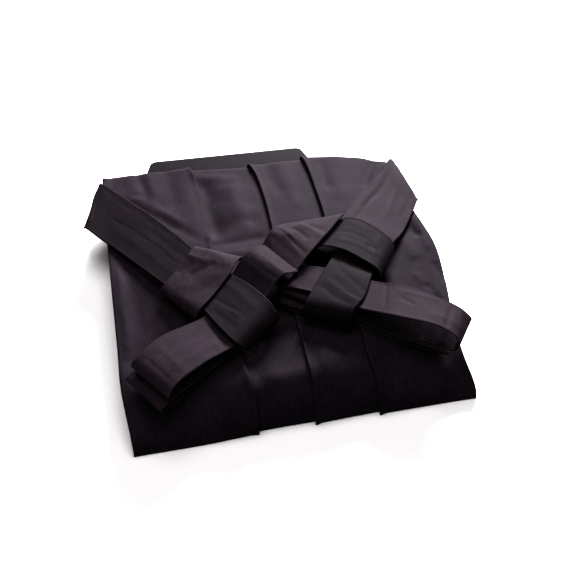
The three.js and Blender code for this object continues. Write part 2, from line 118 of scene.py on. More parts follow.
# %% [markdown]
# Near-black cloth shows its folds only where light rakes over it. The main light stands low behind the
# bundle on its right, so that what faces back and up is lighter, the front edge is dark, and each fold
# throws a soft shadow towards the camera. A wide light above lifts what lies flat, and a weak one in front
# keeps the front edge and the insides of the loops from going black. The view is a plain one with firm
# contrast, which lets the floor go white.

# %% Light and floor
def linear(colour):
    """An sRGB hex colour as linear red, green, blue and alpha."""
    parts = [int(colour[k:k + 2], 16) / 255 for k in (1, 3, 5)]
    return [c / 12.92 if c <= 0.04045 else ((c + 0.055) / 1.055) ** 2.4 for c in parts] + [1]


def area_light(name, toward, distance, size, watts, colour):
    light = bpy.data.objects.new(name, bpy.data.lights.new(name, "AREA"))
    light.data.shape, light.data.size = "DISK", size
    light.data.energy, light.data.color = watts, linear(colour)[:3]
    light.location = aim + Vector(toward).normalized() * distance
    light.rotation_euler = Vector(toward).to_track_quat("Z", "Y").to_euler()
    bpy.context.scene.collection.objects.link(light)


area_light("key behind on the right", (0.3, 0.84, 0.45), 2.2, 0.8, 420, "#fdf9ff")
area_light("soft light from above", (-0.05, 0.1, 0.9), 2.4, 2.0, 88, "#fdfcfd")
area_light("weak fill from the front", (-0.35, -0.85, 0.35), 2.6, 2.2, 34, "#fdfcff")
world = bpy.data.worlds.new("even fill")
world.use_nodes = True
world.node_tree.nodes["Background"].inputs["Color"].default_value = linear("#faf8ff")
world.node_tree.nodes["Background"].inputs["Strength"].default_value = 0.27
bpy.context.scene.world = world
view = bpy.context.scene.view_settings
view.view_transform = "Standard"
view.look = "High Contrast"
print("lights:", [light.name for light in bpy.data.lights], "view:", view.view_transform, view.look)

# %% [markdown]
# One small function adds a shader node: its settings go to the node's own properties or to its inputs, and
# each link joins an output of an earlier node to an input. A second one turns a finished bmesh into an
# object of the scene with its material, which every piece needs.

# %% Helpers for shader nodes and objects
def add(tree, kind, links=(), **settings):
    node = tree.nodes.new(kind)
    for name, value in settings.items():
        socket = node.inputs.get(name.replace("_", " ")) if not hasattr(node, name) else None
        if socket is None:
            setattr(node, name, value)
        else:
            socket.default_value = value
    for output, name in links:
        tree.links.new(output, node.inputs[name])
    return node


def new_material(name):
    material = bpy.data.materials.new(name)
    material.use_nodes = True
    material.node_tree.nodes.clear()
    return material, material.node_tree


def finish_material(tree, shader):
    add(tree, "ShaderNodeOutputMaterial", [(shader.outputs[0], "Surface")])


def made_object(name, mesh, material):
    """A bmesh as an object of the scene; the bmesh is used up."""
    piece = bpy.data.objects.new(name, bpy.data.meshes.new(name))
    mesh.to_mesh(piece.data)
    mesh.free()
    piece.data.materials.append(material)
    bpy.context.scene.collection.objects.link(piece)
    return piece


# %% [markdown]
# The bundle lies on a wide sheet of matt paper. One square face is enough for it, a hair below the cloth so
# that the two never share a plane. It isn't part of the garment, so it isn't attached to the bundle.

# %% Floor
FLOOR_SIZE, FLOOR_GAP = 4, 0.0003
paper, tree = new_material("matt paper floor")
finish_material(tree, add(tree, "ShaderNodeBsdfPrincipled", Base_Color=linear("#adacab"), Roughness=0.95,
                          Specular_IOR_Level=0.1))
floor_mesh = bmesh.new()
bmesh.ops.create_grid(floor_mesh, x_segments=1, y_segments=1, size=FLOOR_SIZE)
bmesh.ops.translate(floor_mesh, verts=floor_mesh.verts, vec=(0, 0, -FLOOR_GAP))
floor = made_object("floor", floor_mesh, paper)
print("floor:", [round(value, 1) for value in floor.dimensions])

# %% [markdown]
# The cloth is a fine twill of cotton or of cotton with polyester, dyed almost black with a plum cast. Twill
# has fine diagonal ribs from the way its yarns step over each other; they break up the light, so the cloth
# is matt. The ribs run on the cloth's own map, in metres, so they turn with every fold. Real ribs are about
# 0.4 mm apart, too fine to show here, so they are drawn at 0.9 mm. Spun yarns vary in thickness: a noise
# stretched along them gives the slubs, lighter and a little raised, and a slow cloudiness in the dye runs
# through the whole garment.
#
# Twill can look darker where its ribs are turned from the light, and a bump as fine as this can't show
# that. So the four stretches of tie that look darker than their neighbours get painted shade: a darker copy
# of the tie twill of their own.

# %% Twill
RIB, YARN, SLUB, SLUB_DRAWN = 0.9 * MM, 0.55 * MM, 1.6 * MM, 0.16
CLOUD, RELIEF = 26.3 * MM, 0.34 * MM
DIAGONAL_WAVE, STRAIGHT_WAVE = 2 * math.pi / 10, 2 * math.pi / 20   # length of one wave at a scale of 1


def twill(name, shade, worn, rib=RIB):
    """A dyed twill: `shade` is its colour in the grooves, painted darker there as shade, and `worn` on top
    of the yarns.
    """
    material, tree = new_material(name)
    flat = add(tree, "ShaderNodeUVMap", uv_map="cloth")
    solid = add(tree, "ShaderNodeTexCoord")
    ribs = add(tree, "ShaderNodeTexWave", [(flat.outputs["UV"], "Vector")], bands_direction="DIAGONAL",
               Scale=DIAGONAL_WAVE / rib, Distortion=0.6, Detail=1)
    yarns = add(tree, "ShaderNodeTexWave", [(flat.outputs["UV"], "Vector")], bands_direction="X",
                Scale=STRAIGHT_WAVE / YARN, Distortion=0.8, Detail=1)
    weave = add(tree, "ShaderNodeMix", [(ribs.outputs["Fac"], "A"), (yarns.outputs["Fac"], "B")],
                Factor=0.3)
    drawn_out = add(tree, "ShaderNodeMapping", [(flat.outputs["UV"], "Vector")], Scale=(1, SLUB_DRAWN, 1))
    slubs = add(tree, "ShaderNodeTexNoise", [(drawn_out.outputs["Vector"], "Vector")], Scale=1 / SLUB,
                Detail=3, Roughness=0.65)
    cloudy = add(tree, "ShaderNodeTexNoise", [(solid.outputs["Object"], "Vector")], Scale=1 / CLOUD,
                 Detail=4, Roughness=0.6)
    tone = add(tree, "ShaderNodeMix", [(weave.outputs[0], "A"), (slubs.outputs["Fac"], "B")], Factor=0.65)
    tone = add(tree, "ShaderNodeMix", [(tone.outputs[0], "A"), (cloudy.outputs["Fac"], "B")], Factor=0.25)
    # The colour runs from `shade` where the relief sinks to `worn` where it rises: painted shade in the
    # grooves.
    colour = add(tree, "ShaderNodeValToRGB", [(tone.outputs[0], "Fac")])
    for stop, position, dye in zip(colour.color_ramp.elements, (0.42, 0.58), (shade, worn)):
        stop.position, stop.color = position, linear(dye)
    relief = add(tree, "ShaderNodeMix", [(weave.outputs[0], "A"), (slubs.outputs["Fac"], "B")], Factor=0.68)
    bump = add(tree, "ShaderNodeBump", [(relief.outputs[0], "Height")], Strength=0.8, Distance=RELIEF)
    rough = add(tree, "ShaderNodeMapRange", [(slubs.outputs["Fac"], "Value")], To_Min=0.62, To_Max=0.78)
    cloth = add(tree, "ShaderNodeBsdfPrincipled", [
        (colour.outputs["Color"], "Base Color"), (rough.outputs["Result"], "Roughness"),
        (bump.outputs["Normal"], "Normal")], Specular_IOR_Level=0.015)
    finish_material(tree, cloth)
    return material


front_twill = twill("dyed twill of the front", "#0d0a0d", "#1a151a")
tie_twill = twill("pressed twill of the ties", "#0f0c0e", "#1e181d")
# A darker copy of the tie twill: painted shade for the stretches of tie that lie across the light.
shaded_tie_twill = twill("pressed twill of the ties, painted darker as shade", "#070507", "#100c0f")
hidden_twill = twill("dyed twill between the layers", "#0d0b0d", "#1a151a")
board_twill = twill("twill drawn tight over the board", "#070607", "#0e0b0e")
thread = twill("spun sewing thread", "#2c262b", "#443b42", rib=0.4 * MM)
print("materials:", [material.name for material in bpy.data.materials])

# %% [markdown]
# The bundle's form comes from short tables. OUTLINE says, for sections from the front edge to the waist,
# how far the front reaches to both sides and how high it lies along its side edges. ENDS says, by the share
# of the width from left to right, where the waist fold and the front edge lie, and how far back the rounded
# shoulder above the front edge reaches. PLEAT_LINES says where the three pleat edges that show lie across
# the front, and PLEATS to which side each is folded and how far its edge stands up.

# %% Tables of the bundle's form
CORE_HEIGHT = 42       # the hidden layers, in the middle of the bundle
GAP = 0.3              # between pieces that touch
CLOTH = 1.2            # room that one layer of the front takes
WAIST_RADIUS = 6       # fold of the front over the waist
WAIST_TURN_DOWN = 31.5
PLEAT_UNDERLAP = 14

OUTLINE = [
    dict(y=-150, left=-169, right=157, left_up=28, right_up=30),
    dict(y=-100, left=-174, right=146, left_up=30, right_up=31),
    dict(y=-50, left=-174, right=149, left_up=35, right_up=32),
    dict(y=0, left=-174, right=155, left_up=39, right_up=34),
    dict(y=50, left=-174, right=157, left_up=41, right_up=38),
    dict(y=100, left=-174, right=149, left_up=41, right_up=40),
    dict(y=150, left=-173, right=144.5, left_up=41, right_up=41),
    dict(y=220, left=-173, right=135, left_up=41, right_up=41),
]
ENDS = [
    dict(across=0, waist=217, front=-148, shoulder=88),
    dict(across=0.2, waist=217, front=-143, shoulder=50),
    dict(across=0.36, waist=214, front=-137, shoulder=28),
    dict(across=0.52, waist=210, front=-134, shoulder=30),
    dict(across=0.72, waist=214, front=-132, shoulder=44),
    dict(across=0.9, waist=208, front=-131, shoulder=58),
    dict(across=1, waist=196, front=-131, shoulder=64),
]
PLEAT_LINES = [
    dict(y=-135, first=-56, second=-2.5, third=58.5),
    dict(y=-100, first=-60.5, second=-3, third=53.6),
    dict(y=-50, first=-64.5, second=-3.7, third=53),
    dict(y=60, first=-69, second=-5, third=53),
    dict(y=130, first=-70, second=-4.4, third=52.6),
    dict(y=180, first=-72.2, second=-6.7, third=51.3),
    dict(y=200, first=-75, second=-10.1, third=49.3),
    dict(y=215, first=-79, second=-14.8, third=46.6),
]
PLEATS = [
    dict(line="first", over="left", proud=1.2),
    dict(line="second", over="right", proud=1.8),
    dict(line="third", over="right", proud=2.0),
]
print("sections:", len(OUTLINE), "places across:", len(ENDS), "pleat edges:", len(PLEATS))

# %% [markdown]
# The front's cloth follows one path: up behind the waist, round the waist fold, over the top, and round the
# shoulder down to the ground. A place on it is a stage of that path, how far along the stage, and the share
# of the width. The functions below read the tables through smooth curves and turn such a place into a
# point.

# %% Along the front's path
def column(rows, key, by, at):
    """The smooth value of one column of a table, by another column."""
    i = 0
    while i < len(rows) - 2 and at > rows[i + 1][by]:
        i += 1
    a, b = rows[i], rows[i + 1]
    before, after = rows[max(i - 1, 0)], rows[min(i + 2, len(rows) - 1)]
    span = b[by] - a[by]
    t = min(1, max(0, (at - a[by]) / span))
    slope_a = (b[key] - before[key]) / (b[by] - before[by])
    slope_b = (after[key] - a[key]) / (after[by] - a[by])
    return bend(a[key], span * slope_a, b[key], span * slope_b, t)


def plan_point(across, y):
    return mix(column(OUTLINE, "left", "y", y), column(OUTLINE, "right", "y", y), across)


def top_height(across, y):
    edge = column(OUTLINE, "left_up" if across < 0.5 else "right_up", "y", y)
    return mix(CORE_HEIGHT, edge, smooth((abs(across - 0.5) * 2 - 0.35) / 0.65))


WIDTH = plan_point(1, 0) - plan_point(0, 0)


def path_point(across, stage, t, lift):
    """A point of the front's path from behind the waist to the ground, `lift` outside the hidden layers."""
    waist, front, shoulder = (column(ENDS, key, "across", across) for key in ("waist", "front", "shoulder"))
    if stage == "down":
        y = waist + lift
        z = mix(WAIST_TURN_DOWN, top_height(across, waist) - WAIST_RADIUS, t)
    elif stage == "fold":
        turn = t * math.pi / 2
        y = waist - WAIST_RADIUS + (WAIST_RADIUS + lift) * math.cos(turn)
        z = top_height(across, waist) - WAIST_RADIUS + (WAIST_RADIUS + lift) * math.sin(turn)
    elif stage == "top":
        y = mix(waist - WAIST_RADIUS, front + shoulder, t)
        z = top_height(across, y) + lift
    else:
        turn = (1 - t) * math.pi / 2
        inner = front + shoulder
        y = inner - (shoulder + lift) * math.cos(turn)
        z = (top_height(across, inner) + lift) * max(0, math.sin(turn)) ** 0.9
    return Vector((plan_point(across, y), y, max(z, 0)))


def unrolled(across, stage, t):
    """How far along the cloth that point is: its y if the front edge were laid out flat."""
    waist, front, shoulder = (column(ENDS, key, "across", across) for key in ("waist", "front", "shoulder"))
    if stage == "shoulder":
        drop = top_height(across, front + shoulder)
        return front + shoulder - t * math.pi / 2 * math.sqrt((shoulder ** 2 + drop ** 2) / 2)
    if stage == "top":
        return mix(waist - WAIST_RADIUS, front + shoulder, t)
    if stage == "fold":
        return waist - WAIST_RADIUS + (1 - t) * math.pi / 2 * WAIST_RADIUS
    return waist + WAIST_RADIUS + (1 - t) * 4


STEPS = [("down", k / 2) for k in range(2)] + [("fold", k / 9) for k in range(9)]
STEPS += [("top", k / 150) for k in range(150)] + [("shoulder", k / 44) for k in range(45)]


def pleat_place(pleat, stage, t):
    """Where a pleat's folded edge lies at a step of the path, in mm from the left side edge."""
    y = path_point(0.5, stage, t, 0).y
    x = column(PLEAT_LINES, pleat["line"], "y", y)
    left = column(OUTLINE, "left", "y", y)
    return (x - left) / (column(OUTLINE, "right", "y", y) - left) * WIDTH


print("width across the middle, mm:", round(WIDTH, 1), "steps along the path:", len(STEPS))

# %% [markdown]
# Cloth that has been folded and handled is never flat. Its creases are placed as soft troughs
# (depth below zero) and ridges (above zero), each from one point to another. A crease fades towards both
# ends, and a slow ripple bends it a little, so no two look alike. On the front they are given in the plan
# of the bundle, with the front edge rolled out flat, so a crease goes through all the layers of a pleat
# alike.

# %% Creases
def crease(start, end, width, depth, fade=0.25):
    return dict(start=Vector(start), end=Vector(end), width=width, depth=depth, fade=fade)


def crease_height(creases, x, y):
    sway = Vector((noise.noise((x / 22, y / 22, 3.7)), noise.noise((x / 22, y / 22, 9.1)))) * 2.2
    point = Vector((x, y)) + sway
    height = 0
    for fold in creases:
        run = fold["end"] - fold["start"]
        t = (point - fold["start"]).dot(run) / run.length_squared
        nearest = fold["start"] + run * min(1, max(0, t))
        away = (point - nearest).length / fold["width"]
        if away < 2.2:
            inside = smooth(min(t, 1 - t) / fold["fade"] + 0.35)
            height += fold["depth"] * inside * math.exp(-2 * away * away)
    return height


FRONT_CREASES = [
    # left panel: pressed in beside the tie, and soft folds hanging from the waist
    crease((-156, 172), (-80, 88), 8, -1.2),
    crease((-146, 176), (-92, 118), 8, 1.0),
    crease((-122, 212), (-120, 150), 9, 0.9),
    crease((-146, 214), (-138, 178), 8, 0.7),
    crease((-134, 220), (-128, 168), 6, -0.7),
    crease((-104, 222), (-98, 140), 12, -1.0),
    crease((-169, 214), (-176, 190), 8, 2.6),
    crease((-156, 78), (-150, -40), 10, -1.2),
    crease((-166, 60), (-164, -60), 6, 1.2),
    crease((-132, 20), (-126, -40), 12, 1.0),
    crease((-168, -60), (-160, -190), 9, 1.8),
    crease((-150, -96), (-140, -180), 12, -1.6),
    crease((-120, -100), (-66, -128), 16, 0.8),
    crease((-138, -152), (-70, -168), 12, -1.0),
    # the first pleat rolls out where it turns down to the front edge
    crease((-64, -70), (-56, -140), 8, 2.2),
    crease((-50, -66), (-50, -124), 9, -1.6),
    # second panel: a deep hollow behind the knot, and cloth pushed up in front of it
    crease((-68, 196), (-60, 86), 16, -3.5),
    crease((-76, 197), (-26, 186), 11, 1.2),
    crease((-38, 184), (-30, 96), 17, 2.4),
    crease((-72, 108), (-14, 112), 16, -1.8),
    crease((-76, 80), (-10, 86), 8, -1.6),
    crease((-72, 62), (-14, 66), 10, 1.6),
    crease((-40, -60), (-36, -124), 12, 0.7),
    # third panel
    crease((4, 212), (12, 150), 10, -0.9),
    crease((22, 208), (30, 120), 12, 0.9),
    crease((12, -60), (24, -128), 13, 1.2),
    crease((2, -84), (8, -132), 7, -1.1),
    # right panel: soft folds beside the tie and over the slope on the right
    crease((126, 202), (106, 150), 8, -1.8),
    crease((138, 190), (110, 152), 7, 1.3),
    crease((84, 214), (76, 130), 12, 0.9),
    crease((66, 206), (66, 150), 7, -0.8),
    crease((134, 102), (142, 62), 7, -2.0),
    crease((146, 96), (150, 40), 7, 1.4),
    crease((122, 66), (134, 30), 9, 1.0),
    crease((134, -6), (142, -34), 6, -1.8),
    crease((126, 10), (136, -22), 7, 1.2),
    crease((149, 24), (155, -6), 5, -1.2),
    crease((60, -70), (60, -136), 8, 1.4),
    crease((92, -96), (128, -110), 16, 1.2),
    crease((138, -96), (146, -190), 9, -1.6),
    crease((100, -150), (130, -168), 14, -1.0),
]


def front_height(x, y):
    """How far the front lies above or below its smooth form."""
    slow = noise.noise((x / 60, y / 60, 1.3)) * 0.5 + noise.noise((x / 24, y / 24, 5.9)) * 0.22
    return slow + crease_height(FRONT_CREASES, x, y)


print("creases on the front:", len(FRONT_CREASES))

# %% [markdown]
# A piece of cloth starts as a flat grid. A function then moves each grid point to its place, and the same
# function lays the cloth's own map down in metres. Solidify then gives the cloth its thickness, half to
# each side or all of it inwards, so the grid itself stays simple.

# %% Helpers for cloth
def moved_grid(columns, rows, place):
    """A grid of columns x rows points; place(i, j) gives a point in mm and its flat position in mm."""
    mesh = bmesh.new()
    bmesh.ops.create_grid(mesh, x_segments=columns - 1, y_segments=rows - 1, size=1)
    flat = mesh.loops.layers.uv.new("cloth")
    laid = {}
    for vertex in mesh.verts:
        i = round((vertex.co.x + 1) / 2 * (columns - 1))
        j = round((vertex.co.y + 1) / 2 * (rows - 1))
        point, laid[vertex] = place(i, j)
        vertex.co = packed(point)
    for face in mesh.faces:
        face.smooth = True
        for loop in face.loops:
            loop[flat].uv = Vector(laid[loop.vert]) * MM
    return mesh


def grid_cloth(name, columns, rows, place, thick, material, offset, turned=False):
    """A thin cloth on a moved grid; `turned` is for a grid whose faces would point inwards."""
    mesh = moved_grid(columns, rows, place)
    if turned:
        bmesh.ops.reverse_faces(mesh, faces=mesh.faces)
    piece = made_object(name, mesh, material)
    wall = piece.modifiers.new("thickness", "SOLIDIFY")
    wall.thickness, wall.offset, wall.use_even_offset = thick * MM, offset, False
    return piece


def measured(piece):
    """Area of one face of the finished cloth, in square metres, and its triangles."""
    shape = piece.evaluated_get(bpy.context.evaluated_depsgraph_get())
    mesh = shape.to_mesh()
    area = sum(polygon.area for polygon in mesh.polygons) / 2
    triangles = sum(len(polygon.vertices) - 2 for polygon in mesh.polygons)
    shape.to_mesh_clear()
    return area, triangles


# %% [markdown]
# The front is pleated: at each pleat one panel lies over its neighbour and is turned under, so its edge is
# a small round fold, and the neighbour runs on flat beneath it. The edge stands a little proud of the cloth
# below, which gives each pleat its dark line. The left panel's pleat lies over the middle, the other two
# lie over to the left.

# %% Front panels
LAYER = 0.9                       # thickness of one layer
TURNED, HIGH = 2.4, 3.9           # the turned-under layer and the top layer, above the hidden layers
LOW = GAP + CLOTH / 2
FOLD_RADIUS = (HIGH - TURNED) / 2
PROUD_REACH = 6.5                 # how far from the pleat its edge lifts the cloth
MAIN_COLUMNS, UNDER_COLUMNS, ROUND_COLUMNS = 52, 5, 7


def pleat_end(edge, over, proud, side):
    """The section from a panel's hidden end up to its pleat: (place, height, how much it stands proud)."""
    if not over:
        return [(edge + side * PLEAT_UNDERLAP, LOW, 0)]
    line = []
    for k in range(UNDER_COLUMNS):
        inward = mix(PLEAT_UNDERLAP, FOLD_RADIUS, k / (UNDER_COLUMNS - 1))
        line.append((edge - side * inward, TURNED, proud * (1 - smooth(inward / PROUD_REACH))))
    for k in range(1, ROUND_COLUMNS):
        turn = k / ROUND_COLUMNS * math.pi
        inward = FOLD_RADIUS * (1 - math.sin(turn))
        line.append((edge - side * inward, (TURNED + HIGH) / 2 - FOLD_RADIUS * math.cos(turn), proud))
    return line


def panel_section(step, left_pleat, right_pleat):
    """One section across a panel, from its left end to its right end."""
    start = pleat_place(left_pleat, *step) if left_pleat else 0
    stop = pleat_place(right_pleat, *step) if right_pleat else WIDTH
    over_left = bool(left_pleat) and left_pleat["over"] == "right"
    over_right = bool(right_pleat) and right_pleat["over"] == "left"
    left_proud = left_pleat["proud"] if over_left else 0
    right_proud = right_pleat["proud"] if over_right else 0
    line = pleat_end(start, over_left, left_proud, -1) if left_pleat else []
    first = start + (FOLD_RADIUS if over_left else 0)
    last = stop - (FOLD_RADIUS if over_right else 0)
    for k in range(MAIN_COLUMNS):
        place = mix(first, last, k / (MAIN_COLUMNS - 1))
        height = mix(HIGH if over_left else LOW, HIGH if over_right else LOW, k / (MAIN_COLUMNS - 1))
        proud = left_proud * (1 - smooth((place - start) / PROUD_REACH))
        proud += right_proud * (1 - smooth((stop - place) / PROUD_REACH))
        line.append((place, height, proud))
    if right_pleat:
        line += reversed(pleat_end(stop, over_right, right_proud, 1))
    return line


def front_panel(name, left_pleat, right_pleat):
    sections = [panel_section(step, left_pleat, right_pleat) for step in STEPS]
    along = [0]
    for one, two in zip(STEPS, STEPS[1:]):
        along.append(along[-1] + (path_point(0.5, *two, 0) - path_point(0.5, *one, 0)).length)

    def place(i, j):
        x, height, proud = sections[j][i]
        stage, t = STEPS[j]
        across = x / WIDTH
        y = unrolled(across, stage, t)
        uneven = 0.75 + 0.5 * noise.noise((y / 40, 0.5, 2.5))
        settled = smooth((1 - t) / 0.35) if stage == "shoulder" else 1   # flat again at the ground
        lift = height + proud * uneven + front_height(plan_point(across, y), y) * settled
        return path_point(across, stage, t, lift), (x + height, along[j])

    return grid_cloth(name, len(sections[0]), len(STEPS), place, LAYER, front_twill, 0)


for k, (left_pleat, right_pleat) in enumerate(zip([None] + PLEATS, PLEATS + [None])):
    node = f"front_panel_{k + 1}"
    panel = front_panel(f"{node}_cloth", left_pleat, right_pleat)
    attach(panel, "root")
    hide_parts(node)
    print(panel.name, "area and triangles:", measured(panel))

# %% [markdown]
# Under the front lie the hidden widths of both legs, the back and the gussets, folded on each other. Only
# their folded edges show, at the sides and at the back, so they are one rounded form: rings run round the
# bundle from its flat underside up to its top. Each fold of cloth is a soft roll with a groove above it, no
# two alike, and each roll shows the lines of its plies.

# %% Hidden layers
LAYERS, PLIES = 5, 3
AROUND, UP = 330, 110
HEM_INSET, ROUNDING = 7, 7        # the stack is narrower than the front, and its upper edge is round
ROUND_FROM = 0.84                 # share of the height where that rounding starts
MEAN_WIDTH = 330
CORNER = 0.03                     # how far a corner is cut back, as a share of the width or depth
SETTLED = 1.6                     # the top lies this far under the front's own layer
GROOVE, PLY_GROOVE = 3.4, 0.5     # between folds and between plies
TOP_INSET, TOP_SUNK = 12, 5       # the closed top, out of sight
GIRTH, SIDE, CAP = 1400, 60, 90   # the cloth's map: round the stack, up its side, over its top or underside
LAYER_INSETS = [0.6, 2.4, 0.9, 2.8, 1.4]
TOP_SHARES = [0.93, 0.84, 0.7, 0.5, 0.25, 0]
UNDER_SHARES = [0, 0.4, 0.8]


def rounded_square(k):
    """A point of the outline, as shares of width and depth, and how far it faces the front."""
    turn = k / AROUND * 2 * math.pi
    c, s = math.cos(turn), math.sin(turn)
    reach = 0.5 / max(abs(c), abs(s))
    u, v = c * reach, s * reach
    cut_u = math.copysign(CORNER, u) * smooth((abs(v) - 0.38) / 0.12) if abs(u) > 0.3 else 0
    cut_v = math.copysign(CORNER, v) * smooth((abs(u) - 0.38) / 0.12) if abs(v) > 0.3 else 0
    return u - cut_u, v - cut_v, smooth((-v - 0.3) / 0.2) * smooth((0.52 - abs(u)) / 0.1)


def layer_inset(height, u, v):
    """How far the side of the stack lies inside its outline, at a share of the height."""
    wave = noise.noise((u * 5, v * 5, 0.4)) * 0.018 + noise.noise((u * 16, v * 16, 4.4)) * 0.006
    level = min(0.999, max(0, height + wave * math.sin(math.pi * height))) * LAYERS
    layer = int(level)
    roll = abs(math.sin(math.pi * level)) ** 0.5
    ply = abs(math.sin(math.pi * level * PLIES)) ** 0.4
    own = LAYER_INSETS[layer] * (0.7 + 0.6 * noise.noise((u * 4, v * 4, layer * 3.1)))
    return own * roll + GROOVE * (1 - roll) + PLY_GROOVE * (1 - ply)


def layer_point(u, v, inset, height, sunk):
    across = 0.5 + u * (1 - 2 * (inset + HEM_INSET) / MEAN_WIDTH)
    waist, front, shoulder = (column(ENDS, key, "across", across) for key in ("waist", "front", "shoulder"))
    rise = math.sqrt(max(0, 1 - height ** 2))
    y = mix(front + shoulder * (1 - rise) + 5, waist - inset * 0.8 - 1, v + 0.5)
    return Vector((plan_point(across, y), y, (top_height(across, y) - SETTLED) * height - sunk))


def layers_place(i, j):
    u, v, front = rounded_square(i)
    girth = i / AROUND * GIRTH
    if j < len(UNDER_SHARES):
        share = UNDER_SHARES[j]
        return layer_point(u * share, v * share, GROOVE, 0, 0), (girth, -CAP * (1 - share))
    j -= len(UNDER_SHARES)
    if j <= UP:
        height = j / UP
        over = max(0, (height - ROUND_FROM) / (1 - ROUND_FROM))
        rounded = ROUNDING * (1 - math.sqrt(max(0, 1 - over ** 2)))
        inset = mix(layer_inset(height, u, v), 0, front) + rounded
        return layer_point(u, v, inset, height, 0), (girth, height * SIDE)
    share = TOP_SHARES[j - UP - 1]
    return layer_point(u * share, v * share, TOP_INSET, 1, TOP_SUNK), (girth, SIDE + CAP * (1 - share))


LAYER_ROWS = len(UNDER_SHARES) + UP + 1 + len(TOP_SHARES)
layers = moved_grid(AROUND + 1, LAYER_ROWS, layers_place)
bmesh.ops.remove_doubles(layers, verts=layers.verts, dist=0.001 * MM)
bmesh.ops.recalc_face_normals(layers, faces=layers.faces)
folded_layers = made_object("folded_layers_cloth", layers, hidden_twill)
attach(folded_layers, "root")
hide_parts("folded_layers")
print("folded layers:", len(folded_layers.data.polygons), "faces")

# %% [markdown]
# The back waist ends in a stiff board in the shape of a trapezium, with the same twill drawn tightly over
# it. Its narrow top edge looks out behind the waist fold. It starts as one square face: the corners go to
# their places, the face is extruded to the board's thickness, the two free corners are rounded, and then
# all edges are softened as cloth round an edge is.

# %% Back board
BOARD_RIM = 1.6
board = bmesh.new()
bmesh.ops.create_grid(board, x_segments=1, y_segments=1, size=1)
for vertex in board.verts:
    free = vertex.co.y > 0
    half = (BOARD["top"] if free else BOARD["base"]) / 2
    vertex.co = packed(Vector((
        BOARD["middle"] + math.copysign(half, vertex.co.x),
        BOARD["edge"] - (0 if free else BOARD["height"]),
        BOARD["up"] - BOARD["thick"],
    )))
raised = bmesh.ops.extrude_face_region(board, geom=board.faces[:])["geom"]
bmesh.ops.translate(board, verts=[item for item in raised if isinstance(item, bmesh.types.BMVert)],
                    vec=(0, 0, BOARD["thick"] * MM))
bmesh.ops.recalc_face_normals(board, faces=board.faces)
free_y = packed(Vector((0, BOARD["edge"], 0))).y
corners = [edge for edge in board.edges if all(abs(vertex.co.y - free_y) < MM for vertex in edge.verts)
           and abs(edge.verts[0].co.x - edge.verts[1].co.x) < MM]
bmesh.ops.bevel(board, geom=corners, offset=BOARD["corner"] * MM, segments=8, profile=0.5, affect="EDGES",
                material=-1)
rims = [edge for edge in board.edges if edge.calc_face_angle(0) > math.radians(60)]
bmesh.ops.bevel(board, geom=rims, offset=BOARD_RIM * MM, segments=4, profile=0.5, affect="EDGES",
                material=-1)
flat = board.loops.layers.uv.new("cloth")
for face in board.faces:
    face.smooth = True
    for loop in face.loops:
        loop[flat].uv = loop.vert.co.xy + Vector((0, loop.vert.co.z))
back_board = made_object("back_board_cloth", board, board_twill)
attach(back_board, "root")
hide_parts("back_board")
print("board corners rounded:", len(corners))

# %% [markdown]
# The ties are long flat bands, sewn from four layers of the same twill and pressed. Each stretch that shows
# runs through a few sections: `far` and `near` are the two edges of its outer face, in mm. The long ties
# are folded into hanks, so their stretches turn back under themselves at the open ends; the short ties wrap
# over and under them.

